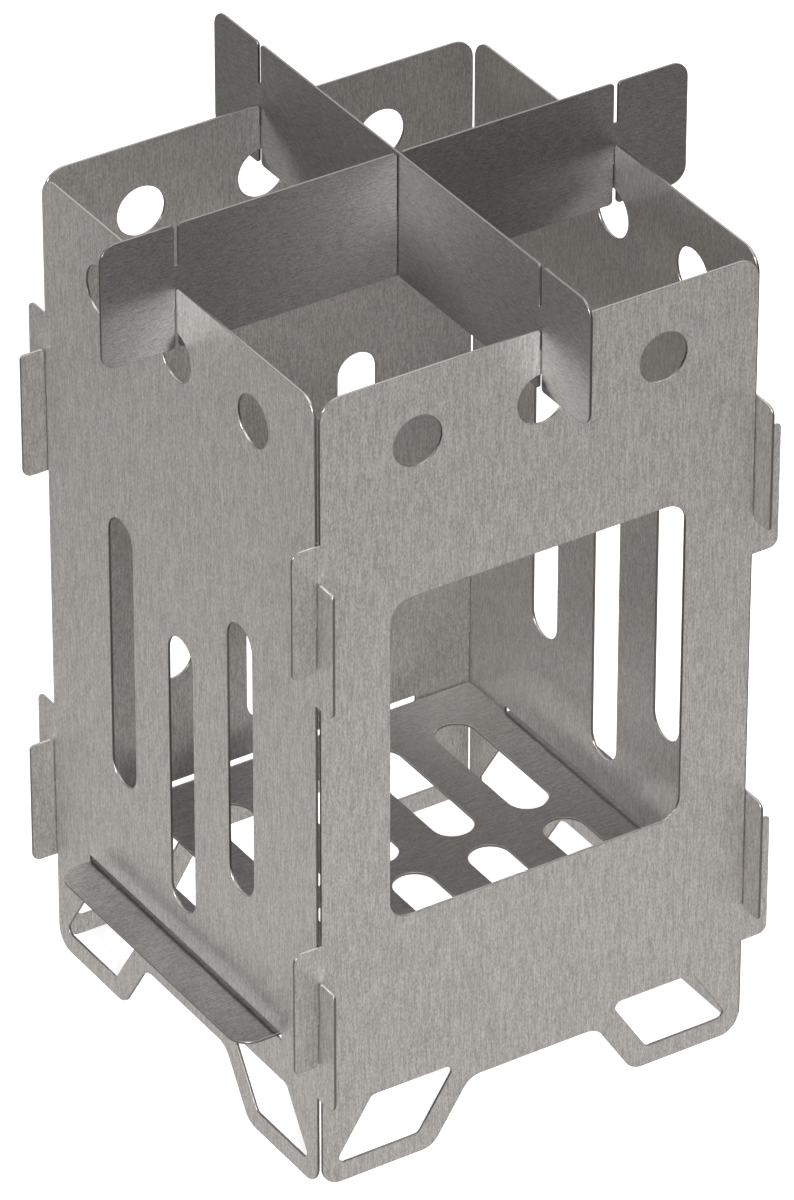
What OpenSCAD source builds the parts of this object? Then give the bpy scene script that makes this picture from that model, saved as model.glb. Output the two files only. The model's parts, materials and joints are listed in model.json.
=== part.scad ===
// Flat-pack wood stove cut from steel sheet. Four panels hook into each other at the
// corners, a slotted fire grate is held in slits near the ground, and two crossed rails
// stand in notches of the top edges and carry the pot.

/* [Sheet] */
// Thickness of the steel sheet
sheet_t = 0.6; // [0.5:0.1:1]
// Play of a sheet in the slit that takes it edgewise
slit_play = 0.4; // [0.3:0.1:0.8]
// Rounding at the mouth of a slit
mouth_r = 1; // [0.5:0.1:1.4]

/* [Body] */
// Distance between the middle planes of opposite panels
body_w = 110; // [102:1:130]
// Height of the panels
body_h = 200; // [190:1:230]
// Radius of the panels' outer corners
corner_r = 5; // [3:0.5:6]

/* [Corner hooks] */
// Height of one hook
hook_h = 31; // [28:1:34]
// Step in height between the two hooks that cross at a corner
hook_step = 9; // [6:0.5:12]
// Reach of a hook past the middle plane of the next panel
hook_reach = 6.4; // [5:0.2:9]
// Radius of a hook's outer corner
hook_r = 2.2; // [1:0.1:3]
// Height of the lower crossing above the ground
low_cross_z = 44; // [42:1:50]
// Depth of the upper crossing below the top edge
high_cross_drop = 54.6; // [46:0.2:60]

/* [Top holes] */
// Diameter of the holes under the top edge
hole_d = 12; // [8:0.5:16]
// Distance between neighbouring holes
hole_pitch = 30.6; // [26:0.2:34]
// Depth of the hole centres below the top edge
hole_drop = 17; // [15:0.5:22]

/* [Fire door] */
// Width of the door opening
door_w = 74.4; // [60:0.2:84]
// Height of the door sill above the ground
door_z = 64; // [56:1:70]
// Depth of the door's upper edge below the panel's top edge
door_drop = 55; // [46:1:70]
// Corner radius of the door opening
door_r = 5; // [2:0.5:8]

/* [Air slots] */
// Width of an air slot
slot_w = 10; // [6:0.5:14]
// Distance between neighbouring air slots
slot_pitch = 24.3; // [20:0.1:28]
// Length of the two outer air slots
slot_len = 69; // [50:1:80]
// Height of the lower ends of the outer air slots
slot_z = 60; // [50:1:66]
// Length of the middle air slot
mid_slot_len = 71; // [50:1:80]
// Height of the lower end of the middle air slot
mid_slot_z = 41; // [36:1:60]

/* [Feet] */
// Height of the arch between the feet
arch_h = 15; // [10:0.5:18]
// Width of the arch at its crown
arch_w = 33.2; // [26:0.2:36]
// Sideways lean of the arch and the foot windows, for each unit of height
lean_share = 0.64; // [0.4:0.02:0.7]
// Radius of the arch corners
arch_r = 5; // [2:0.5:6]
// Height of a foot window
window_h = 15; // [10:0.5:16]
// Height of the window sill above the ground
window_z = 5; // [4:0.2:8]
// Level width of the leg between the arch and a window
leg_w = 6.8; // [5.4:0.2:9]
// Width of the rim between a window and the panel's edge
window_rim = 3.1; // [2.5:0.1:5]
// Corner radius of a foot window
window_r = 1.5; // [0.5:0.1:2.5]

/* [Fire grate] */
// Height of the lower edge of the grate slit, on which the grate lies
grate_z = 30.5; // [27:0.5:34]
// Height of the grate slit
grate_slit_h = 1.8; // [1.4:0.1:3]
// Length of the grate slit
grate_slit_len = 80; // [60:1:90]
// Corner radius of the grate slit
grate_slit_r = 0.4; // [0.2:0.1:0.6]
// Play of the grate from front to rear, on each side
grate_play = 1.2; // [1.1:0.1:2]
// Share of its play that the grate is pushed back by
grate_back_share = 0.6; // [0:0.05:0.6]
// Gap between the grate and the inner face of a side panel
grate_side_gap = 0.4; // [0.2:0.1:1]
// Reach of a grate tab past the middle plane of the side panel
grate_reach = 9.6; // [6:0.2:14]
// Radius of the tab corners
grate_tab_r = 5; // [2:0.5:6]
// Radius of the grate's corners inside the body
grate_corner_r = 1; // [0.5:0.1:3]
// Width of a grate slot
bar_slot_w = 10; // [6:0.5:14]
// Length of a grate slot
bar_slot_len = 38.8; // [30:0.2:44]
// Distance between neighbouring columns of grate slots
bar_slot_pitch = 20; // [16:0.5:22]
// Number of columns of grate slots
bar_slot_columns = 5; // [1:2:5]
// Width of the bar between the two rows of grate slots
mid_bar_w = 5.8; // [4:0.2:12]

/* [Pot rails] */
// Height of a rail
rail_h = 30; // [24:1:36]
// Length of a rail past the middle plane of a panel
rail_over = 18.5; // [12:0.5:24]
// Corner radius of a rail
rail_r = 4; // [2:0.5:6]
// Depth of the slits over the panels
rail_slit_d = 10; // [8:0.5:11]
// Depth of the notch in a panel's top edge
notch_d = 5; // [3:0.5:8]

/* [Hidden] */
curve_fn = 64;
// Reach of a corner's arc past the two edges that it joins, so that they always cross
arc_over = 0.001;
half_w = body_w / 2;
slit_w = sheet_t + slit_play;
inner_w = body_w - sheet_t;
// A panel ends in line with the inner walls of its hook slits
edge_x = half_w - slit_w / 2;
hook_x = half_w + hook_reach;
hook_overlap = hook_h - hook_step;
door_top = body_h - door_drop;
cross_heights = [low_cross_z, body_h - high_cross_drop];
rail_x = half_w + rail_over;
rail_z = body_h - notch_d - rail_slit_d;
grate_shift = grate_play * grate_back_share;
panel_colour = [0.66, 0.64, 0.62];
rail_colour = [0.45, 0.44, 0.43];
grate_colour = [0.52, 0.50, 0.48];

// Outlines. A corner is [x, y, radius], and the corners run anticlockwise.

function unit(v) = v / norm(v);
function plane(corner) = [corner.x, corner.y];
function turn(a, b, c) = (b.x - a.x) * (c.y - b.y) - (b.y - a.y) * (c.x - b.x);

// A sheet outline whose corners are true arcs: the polygon runs through the points where
// the arcs start and end, and a circle fills an outer corner or cuts an inner one.
module rounded_outline(corners) {
    n = len(corners);
    at = [for (c = corners) plane(c)];
    to_last = [for (i = [0:n-1]) unit(at[(i + n - 1) % n] - at[i])];
    to_next = [for (i = [0:n-1]) unit(at[(i + 1) % n] - at[i])];
    half = [for (i = [0:n-1]) acos(to_last[i] * to_next[i]) / 2];
    leg = [for (i = [0:n-1]) corners[i].z / tan(half[i])];
    centre = [for (i = [0:n-1]) at[i] + corners[i].z / sin(half[i]) * unit(to_last[i] + to_next[i])];
    is_outer = [for (i = [0:n-1]) turn(at[(i + n - 1) % n], at[i], at[(i + 1) % n]) > 0];
    points = [for (i = [0:n-1]) each (corners[i].z > 0
        ? [at[i] + leg[i] * to_last[i], at[i] + leg[i] * to_next[i]]
        : [at[i]])];
    difference() {
        union() {
            polygon(points);
            for (i = [0:n-1]) if (corners[i].z > 0 && is_outer[i])
                translate(centre[i]) circle(r = corners[i].z + arc_over, $fn = curve_fn);
        }
        for (i = [0:n-1]) if (corners[i].z > 0 && !is_outer[i])
            translate(centre[i]) circle(r = corners[i].z + arc_over, $fn = curve_fn);
    }
}

// The corners of a slit that opens at an edge. side is 1 where the slit goes up from a
// lower edge, and -1 where it goes down from an upper edge.
function slit(x, edge_y, depth, side) = [
    [x - side * slit_w / 2, edge_y, mouth_r],
    [x - side * slit_w / 2, edge_y + side * depth, 0],
    [x + side * slit_w / 2, edge_y + side * depth, 0],
    [x + side * slit_w / 2, edge_y, mouth_r]];

// The corners of the hook on a panel's right edge, which opens upwards
function low_hook(z) = [
    [edge_x, z + hook_overlap / 2 - hook_h, 0],
    [hook_x, z + hook_overlap / 2 - hook_h, hook_r],
    [hook_x, z + hook_overlap / 2, mouth_r],
    [half_w + slit_w / 2, z + hook_overlap / 2, mouth_r],
    [half_w + slit_w / 2, z, 0],
    [edge_x, z, 0]];

// Corners turned half round about the point [0, y]
function half_turned(corners, y) = [for (c = corners) [-c.x, 2 * y - c.y, c.z]];

// The hook on the left edge opens downwards: it is the right one turned half round
function high_hook(z) = half_turned(low_hook(z), z);

module panel_outline() {
    foot_x = arch_w / 2 + arch_h * lean_share;
    rounded_outline([
        [-edge_x, 0, corner_r],
        [-foot_x, 0, arch_r],
        [-arch_w / 2, arch_h, arch_r],
        [arch_w / 2, arch_h, arch_r],
        [foot_x, 0, arch_r],
        [edge_x, 0, corner_r],
        each low_hook(cross_heights[0]),
        each low_hook(cross_heights[1]),
        [edge_x, body_h, corner_r],
        each slit(0, body_h, notch_d, -1),
        [-edge_x, body_h, corner_r],
        each high_hook(cross_heights[1]),
        each high_hook(cross_heights[0])]);
}

// Openings in the panels

// The inner edge of a foot window leans as the arch does
module foot_windows() {
    lean = window_h * lean_share;
    window_top = window_z + window_h;
    near_x = arch_w / 2 + leg_w - (window_top - arch_h) * lean_share;
    far_x = edge_x - window_rim;
    for (side = [0, 1]) mirror([side, 0])
        rounded_outline([
            [near_x + lean, window_z, window_r],
            [far_x, window_z, window_r],
            [far_x - lean, window_top, window_r],
            [near_x, window_top, window_r]]);
}

module top_holes() {
    for (place = [-1:1])
        translate([place * hole_pitch, body_h - hole_drop]) circle(d = hole_d, $fn = curve_fn);
}

// A slot with round ends, upright on the sheet, whose lower end is at the origin
module round_slot(w, length) {
    translate([-w / 2, w / 2]) square([w, length - w]);
    for (y = [w / 2, length - w / 2]) translate([0, y]) circle(d = w, $fn = curve_fn);
}

module air_slots() {
    for (side = [-1, 1]) translate([side * slot_pitch, slot_z]) round_slot(slot_w, slot_len);
    translate([0, mid_slot_z]) round_slot(slot_w, mid_slot_len);
}

module grate_slit() {
    rounded_outline([
        [-grate_slit_len / 2, grate_z, grate_slit_r],
        [grate_slit_len / 2, grate_z, grate_slit_r],
        [grate_slit_len / 2, grate_z + grate_slit_h, grate_slit_r],
        [-grate_slit_len / 2, grate_z + grate_slit_h, grate_slit_r]]);
}

module door_opening() {
    rounded_outline([
        [-door_w / 2, door_z, door_r],
        [door_w / 2, door_z, door_r],
        [door_w / 2, door_top, door_r],
        [-door_w / 2, door_top, door_r]]);
}

// Sheets in place

// Stands a flat outline up as a sheet. The outline is seen from outside the stove, and
// the turn takes it from the front round to its own side.
module standing_sheet(distance, turned) {
    rotate([0, 0, turned]) translate([0, sheet_t / 2 - distance, 0])
        rotate([90, 0, 0]) linear_extrude(sheet_t) children();
}

module door_panel() {
    color(panel_colour) standing_sheet(half_w, 0) difference() {
        panel_outline();
        foot_windows();
        top_holes();
        door_opening();
    }
}

module slotted_panel(turned) {
    color(panel_colour) standing_sheet(half_w, turned) difference() {
        panel_outline();
        foot_windows();
        top_holes();
        air_slots();
        grate_slit();
    }
}

module fire_grate() {
    plate_x = inner_w / 2 - grate_side_gap;
    plate_y = inner_w / 2 - grate_play;
    tab_x = half_w + grate_reach;
    tab_y = grate_slit_len / 2 - grate_play;
    rear_half = [
        [tab_x, tab_y, grate_tab_r],
        [plate_x, tab_y, 0],
        [plate_x, plate_y, grate_corner_r],
        [-plate_x, plate_y, grate_corner_r],
        [-plate_x, tab_y, 0],
        [-tab_x, tab_y, grate_tab_r]];
    color(grate_colour) translate([0, grate_shift, grate_z]) linear_extrude(sheet_t) difference() {
        rounded_outline([each rear_half, each half_turned(rear_half, 0)]);
        for (column = [0:bar_slot_columns-1], side = [0, 1]) mirror([0, side])
            translate([(column - (bar_slot_columns - 1) / 2) * bar_slot_pitch, mid_bar_w / 2])
                round_slot(bar_slot_w, bar_slot_len);
    }
}

// The two rails cross in half-depth slits at the middle. side is -1 where the rail's
// slit opens upwards, and 1 where it opens downwards.
module rail(turned, side) {
    mid_slit_d = (rail_h + slit_play) / 2;
    below = [for (x = [-half_w, half_w]) slit(x, 0, rail_slit_d, 1)];
    above = [for (x = [half_w, -half_w]) slit(x, rail_h, rail_slit_d, -1)];
    mid_below = side > 0 ? slit(0, 0, mid_slit_d, 1) : [];
    mid_above = side < 0 ? slit(0, rail_h, mid_slit_d, -1) : [];
    color(rail_colour) translate([0, 0, rail_z]) standing_sheet(0, turned) rounded_outline([
        [-rail_x, 0, rail_r],
        each below[0], each mid_below, each below[1],
        [rail_x, 0, rail_r],
        [rail_x, rail_h, rail_r],
        each above[0], each mid_above, each above[1],
        [-rail_x, rail_h, rail_r]]);
}

module front_panel() door_panel();
module left_panel() slotted_panel(-90);
module rear_panel() slotted_panel(180);
module right_panel() slotted_panel(90);
module cross_rail() rail(0, -1);
module depth_rail() rail(90, 1);

front_panel();
left_panel();
rear_panel();
right_panel();
fire_grate();
cross_rail();
depth_rail();
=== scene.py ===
import json
import math

import bpy
from mathutils import Matrix, Vector

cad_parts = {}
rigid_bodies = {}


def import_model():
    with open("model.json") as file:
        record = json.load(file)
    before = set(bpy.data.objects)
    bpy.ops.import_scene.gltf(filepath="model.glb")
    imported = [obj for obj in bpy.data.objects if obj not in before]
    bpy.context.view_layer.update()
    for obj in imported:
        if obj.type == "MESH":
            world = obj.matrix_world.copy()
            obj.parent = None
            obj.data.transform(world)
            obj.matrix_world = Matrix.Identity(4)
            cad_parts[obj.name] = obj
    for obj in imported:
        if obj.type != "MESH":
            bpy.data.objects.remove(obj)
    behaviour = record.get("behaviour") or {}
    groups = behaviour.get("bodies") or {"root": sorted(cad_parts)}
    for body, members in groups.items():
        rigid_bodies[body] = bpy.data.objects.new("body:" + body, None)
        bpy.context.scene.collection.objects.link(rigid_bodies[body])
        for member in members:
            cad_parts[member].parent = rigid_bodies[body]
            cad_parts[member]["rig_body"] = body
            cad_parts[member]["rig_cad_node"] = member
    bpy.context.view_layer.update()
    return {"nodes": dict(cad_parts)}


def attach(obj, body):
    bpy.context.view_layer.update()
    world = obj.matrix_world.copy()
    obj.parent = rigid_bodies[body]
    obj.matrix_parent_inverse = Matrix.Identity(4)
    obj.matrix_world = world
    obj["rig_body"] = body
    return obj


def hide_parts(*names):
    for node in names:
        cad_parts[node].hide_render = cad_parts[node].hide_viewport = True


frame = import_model()


# The camera looks down on the stove from its front left corner, through a long lens. Its place,
# turn and lens are those of the photograph, whose frame is 1200 pixels high.
FRAME_PIXELS = 1200
FOCAL_PIXELS = 8873.7
SENSOR_HIGH = 36.0
CAMERA_PLACE = Vector((-0.8710, -1.3576, 1.1575))
TURN = math.radians(-32.678)
TILT = math.radians(90 - 33.188)
ROLL = math.radians(0.089)

bpy.ops.object.select_all(action="DESELECT")
bpy.ops.object.camera_add(location=CAMERA_PLACE, rotation=(TILT, 0, TURN))
camera = bpy.context.object
camera.name = "camera"
camera.matrix_world = camera.matrix_world @ Matrix.Rotation(ROLL, 4, "Z")
camera.data.sensor_fit = "VERTICAL"
camera.data.sensor_height = SENSOR_HIGH
camera.data.lens = SENSOR_HIGH * FOCAL_PIXELS / FRAME_PIXELS
bpy.context.scene.camera = camera


# The front panel with the fire door. It is cold rolled stainless sheet, 0.6 mm thick, brushed
# upright and then cut by laser, which leaves a narrow dull wall with a broken edge. Its hooks
# hold it to the side panels.
def mm(length):
    """Millimetres in Blender's metres."""
    return length / 1000


def srgb(code):
    """A hex colour as Blender's linear colour with alpha."""
    parts = [int(code[i:i + 2], 16) / 255 for i in (1, 3, 5)]
    return [p / 12.92 if p <= 0.04045 else ((p + 0.055) / 1.055) ** 2.4 for p in parts] + [1]


def add_node(tree, kind, values=None, links=None, **settings):
    """Adds a node with its settings, the values of its sockets and the links into them."""
    node = tree.nodes.new("ShaderNode" + kind)
    for name, value in settings.items():
        setattr(node, name, value)
    for socket, value in (values or {}).items():
        node.inputs[socket].default_value = value
    for socket, source in (links or {}).items():
        tree.links.new(source, node.inputs[socket])
    return node


def empty_material(name):
    """A material without nodes, and its tree."""
    material = bpy.data.materials.new(name)
    material.use_nodes = True
    material.node_tree.nodes.clear()
    return material, material.node_tree


X_AXIS, Y_AXIS, Z_AXIS = 0, 1, 2

# The sockets of the Mix node, which has one set for plain numbers and one for colours.
MIX_SHARE, MIX_A, MIX_B, MIX_COLOUR_A, MIX_COLOUR_B = 0, 2, 3, 6, 7
MIX_COLOUR = 2

# Lengths in millimetres. Among the short scratches are wider and longer ones. The tone wanders
# in small patches, and the whole sheet is a little wavy from rolling.
LONG_SCRATCH_WIDER = 1.3
LONG_SCRATCH_LONGER = 6
LONG_SCRATCH_SHARE = 0.42
PATCH_SIZE = (1.2, 2.5)
WAVE_SIZE = (38, 60)
WAVE_DEPTH = 0.35
NOISE_ROUGHNESS = 0.5
PLAIN_NOISE, FINE_NOISE, FINER_NOISE = 0, 1, 2

# How much of each noise's middle becomes the full step from one tone to the other.
SCRATCH_TONE_FROM, SCRATCH_TONE_TO = 0.34, 0.66
SCRATCH_ROUGH_FROM, SCRATCH_ROUGH_TO = 0.3, 0.7
PATCH_FROM, PATCH_TO = 0.38, 0.62


def brushed_steel(name, along, across, streak, colours, rough, anisotropy, scratch_depth):
    """Stainless sheet brushed along one axis. The eye sees short streaks, faint warm and cool
    patches, and reflections that are drawn out across the brushing. streak is the width and
    the length of a scratch in millimetres, coarser than the real grit so that it shows.
    colours are the dark and the light of the scratches, then the warm and the cool of the
    patches. rough is the least and the most roughness."""
    material, tree = empty_material(name)
    place = add_node(tree, "TexCoord").outputs["Object"]

    def pattern(width, length, detail):
        scale = [1 / mm(length) if axis == along else 1 / mm(width) for axis in range(3)]
        mapped = add_node(tree, "Mapping", {"Scale": scale}, {"Vector": place})
        return add_node(tree, "TexNoise",
                        {"Scale": 1, "Detail": detail, "Roughness": NOISE_ROUGHNESS},
                        {"Vector": mapped.outputs["Vector"]}).outputs["Fac"]

    def spread(value, low, high, to_low, to_high):
        return add_node(tree, "MapRange",
                        {"From Min": low, "From Max": high, "To Min": to_low, "To Max": to_high},
                        {"Value": value}).outputs[0]

    width, length = streak
    fine = pattern(width, length, FINE_NOISE)
    long_streaks = pattern(width * LONG_SCRATCH_WIDER, length * LONG_SCRATCH_LONGER, FINE_NOISE)
    patches = pattern(*PATCH_SIZE, FINER_NOISE)
    sheet_wave = pattern(*WAVE_SIZE, PLAIN_NOISE)
    grain = add_node(tree, "Mix", {MIX_SHARE: LONG_SCRATCH_SHARE},
                     {MIX_A: fine, MIX_B: long_streaks}).outputs[0]

    dark, light, warm, cool = (srgb(code) for code in colours)
    shade = spread(grain, SCRATCH_TONE_FROM, SCRATCH_TONE_TO, 0, 1)
    tone = add_node(tree, "Mix", {MIX_COLOUR_A: dark, MIX_COLOUR_B: light}, {MIX_SHARE: shade},
                    data_type="RGBA")
    warmth = spread(patches, PATCH_FROM, PATCH_TO, 0, 1)
    tint = add_node(tree, "Mix", {MIX_COLOUR_A: warm, MIX_COLOUR_B: cool}, {MIX_SHARE: warmth},
                    data_type="RGBA")
    colour = add_node(tree, "Mix", {MIX_SHARE: 1},
                      {MIX_COLOUR_A: tone.outputs[MIX_COLOUR], MIX_COLOUR_B: tint.outputs[MIX_COLOUR]},
                      data_type="RGBA", blend_type="MULTIPLY")
    roughness = spread(grain, SCRATCH_ROUGH_FROM, SCRATCH_ROUGH_TO, *rough)

    scratches = add_node(tree, "Bump", {"Distance": mm(scratch_depth), "Strength": 1},
                         {"Height": grain})
    wave = add_node(tree, "Bump", {"Distance": mm(WAVE_DEPTH), "Strength": 1},
                    {"Height": sheet_wave, "Normal": scratches.outputs["Normal"]})
    tangent = add_node(tree, "CombineXYZ", {across: 1})
    metal = add_node(tree, "BsdfPrincipled", {"Metallic": 1, "Anisotropic": anisotropy},
                     {"Base Color": colour.outputs[MIX_COLOUR], "Roughness": roughness,
                      "Normal": wave.outputs["Normal"], "Tangent": tangent.outputs["Vector"]})
    add_node(tree, "OutputMaterial", links={"Surface": metal.outputs["BSDF"]})
    return material


CUT_ROUGHNESS = 0.32
PAINTED_HIGHLIGHT_FROM, PAINTED_HIGHLIGHT_TO = 0.3, 0.8


def cut_wall(name, dull, painted_top_highlight):
    """The wall that a laser leaves in stainless sheet. The eye sees a dull grey line round each
    opening. On the walls that face up it is lighter: a painted highlight of light from above."""
    material, tree = empty_material(name)
    facing = add_node(tree, "SeparateXYZ",
                      links={0: add_node(tree, "NewGeometry").outputs["Normal"]})
    # Painted highlight: the more a wall faces up, the lighter its colour, as if light fell on it from
    # above.
    painted_highlight_share = add_node(tree, "MapRange", {"From Min": PAINTED_HIGHLIGHT_FROM, "From Max": PAINTED_HIGHLIGHT_TO},
                        {"Value": facing.outputs["Z"]})
    tone = add_node(tree, "Mix", {MIX_COLOUR_A: srgb(dull), MIX_COLOUR_B: srgb(painted_top_highlight)},
                    {MIX_SHARE: painted_highlight_share.outputs[0]}, data_type="RGBA")
    metal = add_node(tree, "BsdfPrincipled", {"Metallic": 1, "Roughness": CUT_ROUGHNESS},
                     {"Base Color": tone.outputs[MIX_COLOUR]})
    add_node(tree, "OutputMaterial", links={"Surface": metal.outputs["BSDF"]})
    return material


FACE, CUT = 0, 1
EDGE_BREAK = mm(0.09)
EDGE_BREAK_SEGMENTS = 2
WELD = mm(0.001)
COPLANAR_ANGLE = math.radians(0.5)
CUT_ANGLE = math.radians(40)
ROUND_ANGLE = math.radians(20)

# How far a normal points across the sheet, from 0 on a cut wall to 1 on a flat face.
WALL_BELOW = 0.5
FLAT_ABOVE = 0.999


def cut_sheet(node, name, flat_axis, face, edge):
    """A copy of a sheet from the frame, its triangles merged and its cut edges broken. The walls
    and the broken edges get the look of a cut. flat_axis is the axis that the sheet lies across."""
    bpy.ops.object.select_all(action="DESELECT")
    source = frame["nodes"][node]
    source.select_set(True)
    bpy.context.view_layer.objects.active = source
    bpy.ops.object.duplicate()
    piece = bpy.context.object
    piece.name = name
    piece.parent = None
    # The copy is a piece of its own, so it drops the marks of a node from the frame.
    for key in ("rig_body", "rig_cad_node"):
        if key in piece:
            del piece[key]
    bpy.ops.object.mode_set(mode="EDIT")
    bpy.ops.mesh.select_all(action="SELECT")
    bpy.ops.mesh.remove_doubles(threshold=WELD)
    bpy.ops.mesh.dissolve_limited(angle_limit=COPLANAR_ANGLE)
    bpy.ops.object.mode_set(mode="OBJECT")
    piece.data.materials.clear()
    piece.data.materials.append(face)
    piece.data.materials.append(edge)
    for polygon in piece.data.polygons:
        polygon.material_index = CUT if abs(polygon.normal[flat_axis]) < WALL_BELOW else FACE
    broken = piece.modifiers.new("broken_edges", "BEVEL")
    broken.width = EDGE_BREAK
    broken.segments = EDGE_BREAK_SEGMENTS
    broken.limit_method = "ANGLE"
    broken.angle_limit = CUT_ANGLE
    broken.use_clamp_overlap = False
    broken.material = CUT
    bpy.ops.object.modifier_apply(modifier=broken.name)
    bpy.ops.object.shade_smooth_by_angle(angle=ROUND_ANGLE)
    for polygon in piece.data.polygons:
        if abs(polygon.normal[flat_axis]) > FLAT_ABOVE:
            polygon.use_smooth = False
    return piece


PANEL_COLOURS = ("#BAB9B8", "#ECEBE9", "#FFFCFA", "#F8F9F9")
PANEL_BRUSHING = {"streak": (0.26, 0.75), "rough": (0.38, 0.44), "anisotropy": 0.75,
                  "scratch_depth": 0.003}

# The second colour of each cut wall is a painted highlight on the walls that face up.
laser_edge = cut_wall("laser_cut_edge", dull="#7F7C79", painted_top_highlight="#B9B6B2")
front_steel = brushed_steel("brushed_steel_upright_front", Z_AXIS, X_AXIS, colours=PANEL_COLOURS,
                            **PANEL_BRUSHING)
front_sheet = cut_sheet("front_panel", "front_panel_sheet", Y_AXIS, front_steel, laser_edge)
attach(front_sheet, "stove_body")
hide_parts("front_panel")


# The rear panel is cut and brushed from the same stainless sheet as the front one, with three
# air slots and the slit of a side panel in place of the door. It hooks into the side panels.
rear_sheet = cut_sheet("rear_panel", "rear_panel_sheet", Y_AXIS, front_steel, laser_edge)
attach(rear_sheet, "stove_body")
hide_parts("rear_panel")


# The left and right panels are cut from the same brushed stainless sheet, turned a quarter turn.
# Each has three air slots and a slit that carries the grate's tab, and hooks into its neighbours.
side_steel = brushed_steel("brushed_steel_upright_side", Z_AXIS, Y_AXIS, colours=PANEL_COLOURS,
                           **PANEL_BRUSHING)
for side in ("left", "right"):
    side_sheet = cut_sheet(side + "_panel", side + "_panel_sheet", X_AXIS, side_steel, laser_edge)
    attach(side_sheet, "stove_body")
    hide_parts(side + "_panel")


# The fire grate is a slotted plate of the same stainless sheet, brushed from side to side and
# smoother than the panels. Its colours, darker than the panels', are painted shade for a plate
# inside the stove. It lies in the slits of the side panels by its two tabs.
# Painted shade: the grate's colours are darker than the panels', though it is the same steel.
GRATE_PAINTED_SHADE_COLOURS = ("#716F6E", "#9A9897", "#FFFDFB", "#F9FBFB")
grate_steel = brushed_steel("brushed_steel_grate", X_AXIS, Y_AXIS, streak=(0.2, 0.5),
                            colours=GRATE_PAINTED_SHADE_COLOURS, rough=(0.38, 0.44), anisotropy=0.95,
                            scratch_depth=0.001)
grate = cut_sheet("fire_grate", "fire_grate_plate", Z_AXIS, grate_steel, laser_edge)
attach(grate, "stove_body")
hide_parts("fire_grate")


# The two pot rails are strips of stainless sheet, coloured darker than the panels and brushed
# along their length. They cross in half slits, and each stands in notches in the tops of two
# panels, out of which it lifts.
RAIL_COLOURS = ("#817F7E", "#A9A7A6", "#FEFDFB", "#F8FBFC")
# The second colour of the rails' cut wall is a painted highlight on the walls that face up.
rail_edge = cut_wall("laser_cut_rail_edge", dull="#6A6865", painted_top_highlight="#9B9895")
for node, along, flat in (("cross_rail", X_AXIS, Y_AXIS), ("depth_rail", Y_AXIS, X_AXIS)):
    rail_steel = brushed_steel("brushed_steel_" + node, along, Z_AXIS, streak=(0.22, 0.45),
                               colours=RAIL_COLOURS, rough=(0.48, 0.52), anisotropy=0.85,
                               scratch_depth=0.002)
    rail = cut_sheet(node, node + "_sheet", flat, rail_steel, rail_edge)
    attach(rail, node + "_body")
    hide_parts(node)


# The floor is plain white paper. The camera sees it white, with the stove's soft shadow. The
# metal sees slightly warm paper that glows with a painted pool of light, brightest near the
# stove and less further off, which shades the tall panels towards their tops.
FLOOR_SIZE = 8
PAPER_WHITE, WARM_PAPER = "#E8E8E8", "#FFFBF7"
PAPER_GLOW = 0.75
BRIGHTEST_SPOT = Vector((-0.04, -0.09, 0))
NEAR, FAR = 0.11, 0.45
NEAR_LIGHT, FAR_LIGHT = 0.605, 0.37

bpy.ops.object.select_all(action="DESELECT")
bpy.ops.mesh.primitive_plane_add(size=FLOOR_SIZE)
floor = bpy.context.object
floor.name = "floor"
paper, tree = empty_material("white_paper")
path = add_node(tree, "LightPath")
lit = add_node(tree, "BsdfDiffuse", {"Color": srgb(PAPER_WHITE)})
seen_glow = add_node(tree, "Math", {1: PAPER_GLOW}, {0: path.outputs["Is Camera Ray"]},
                     operation="MULTIPLY")
glow = add_node(tree, "Emission", links={"Strength": seen_glow.outputs[0]})
seen = add_node(tree, "AddShader", links={0: lit.outputs[0], 1: glow.outputs[0]})
place = add_node(tree, "TexCoord").outputs["Object"]
distance = add_node(tree, "VectorMath", {1: BRIGHTEST_SPOT}, {0: place}, operation="DISTANCE")
# Painted pool of light: the glow that the metal sees falls from NEAR_LIGHT near the stove to FAR_LIGHT
# further off.
painted_light_pool = add_node(tree, "MapRange", {"From Min": NEAR, "From Max": FAR,
                                        "To Min": NEAR_LIGHT, "To Max": FAR_LIGHT},
                     {"Value": distance.outputs["Value"]})
mirrored = add_node(tree, "Emission", {"Color": srgb(WARM_PAPER)},
                    {"Strength": painted_light_pool.outputs[0]})
both = add_node(tree, "MixShader", links={0: path.outputs["Is Glossy Ray"], 1: seen.outputs[0],
                                          2: mirrored.outputs[0]})
add_node(tree, "OutputMaterial", links={"Surface": both.outputs[0]})
floor.data.materials.append(paper)


# Plain soft studio light. The room is white towards a window behind the stove's right and greyer
# on the other side, so that rims that face the camera have a dark line. The camera sees it white.
WINDOW_SIDE = Vector((0.72, 0.6, 0.1)).normalized()
TURNED_AWAY, TURNED_TO = -0.1, 0.95
GREY_SIDE, WHITE_SIDE = 0.15, 1
ROOM_LIGHT = 0.15

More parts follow.
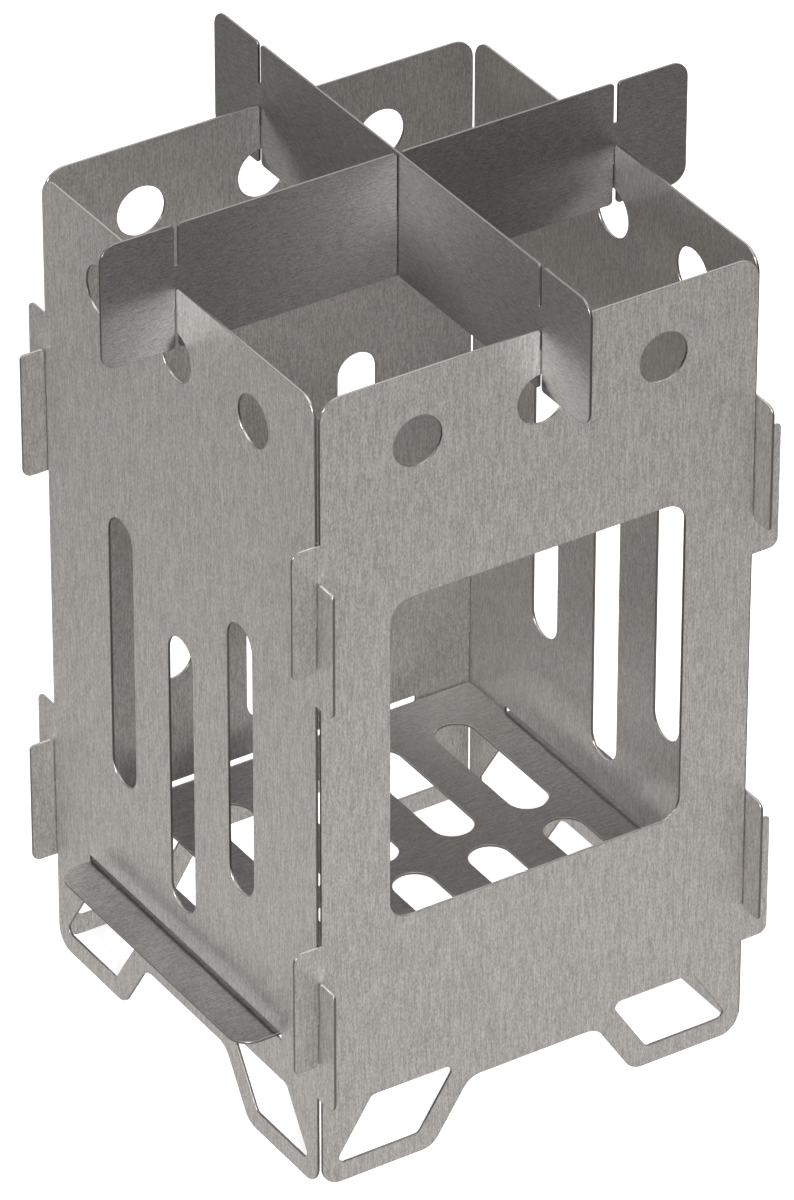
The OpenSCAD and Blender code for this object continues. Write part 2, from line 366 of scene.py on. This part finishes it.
world = bpy.data.worlds.new("white_room")
bpy.context.scene.world = world
world.use_nodes = True
tree = world.node_tree
tree.nodes.clear()
path = add_node(tree, "LightPath")
toward = add_node(tree, "TexCoord").outputs["Generated"]
to_window = add_node(tree, "VectorMath", {1: WINDOW_SIDE}, {0: toward}, operation="DOT_PRODUCT")
room_grey = add_node(tree, "MapRange", {"From Min": TURNED_AWAY, "From Max": TURNED_TO,
                                        "To Min": GREY_SIDE, "To Max": WHITE_SIDE},
                     {"Value": to_window.outputs["Value"]})
mirrored = add_node(tree, "Math", links={0: path.outputs["Is Glossy Ray"], 1: room_grey.outputs[0]},
                    operation="MULTIPLY")
seen = add_node(tree, "Math", links={0: path.outputs["Is Camera Ray"],
                                     1: path.outputs["Is Transmission Ray"]}, operation="ADD")
seen_all = add_node(tree, "Math", links={0: seen.outputs[0], 1: mirrored.outputs[0]},
                    operation="ADD", use_clamp=True)
strength = add_node(tree, "Math", {1: ROOM_LIGHT}, {0: seen_all.outputs[0]}, operation="MAXIMUM")
room = add_node(tree, "Background", {"Color": srgb("#FFFFFF")}, {"Strength": strength.outputs[0]})
add_node(tree, "OutputWorld", links={"Surface": room.outputs[0]})


# Four soft lamps shine on the stove. One hangs over it, one stands high in front of it, and a low
# one in front lights the corner between the rails. The grate's tab throws the light of a strip
# lamp at the left up onto the left panel.
LIT_POINT = Vector((0, 0, 0.06))


def soft_lamp(name, place, wide, high, watts):
    """A soft lamp with its sizes in metres, turned to the lower half of the stove."""
    bpy.ops.object.light_add(type="AREA", location=place)
    lamp = bpy.context.object
    lamp.name = name
    lamp.data.shape = "RECTANGLE"
    lamp.data.size = wide
    lamp.data.size_y = high
    lamp.data.energy = watts
    lamp.rotation_euler = (LIT_POINT - lamp.location).to_track_quat("-Z", "Y").to_euler()


soft_lamp("top_lamp", place=(0, -0.1, 0.8), wide=0.5, high=0.5, watts=2)
soft_lamp("front_lamp", place=(-0.5, -1.35, 1.15), wide=0.5, high=0.5, watts=36)
soft_lamp("low_lamp", place=(-1.03, -1.56, 0.3), wide=0.5, high=0.3, watts=26)
soft_lamp("left_strip_lamp", place=(-1.45, 0.2, 0.85), wide=1.2, high=0.14, watts=25)

# Light goes from sheet to sheet many times inside the stove, and its reflections aren't blurred.
INSIDE_BOUNCES = 12
NO_BLUR = 0
bpy.context.scene.view_settings.view_transform = "Standard"
bpy.context.scene.cycles.glossy_bounces = INSIDE_BOUNCES
bpy.context.scene.cycles.blur_glossy = NO_BLUR
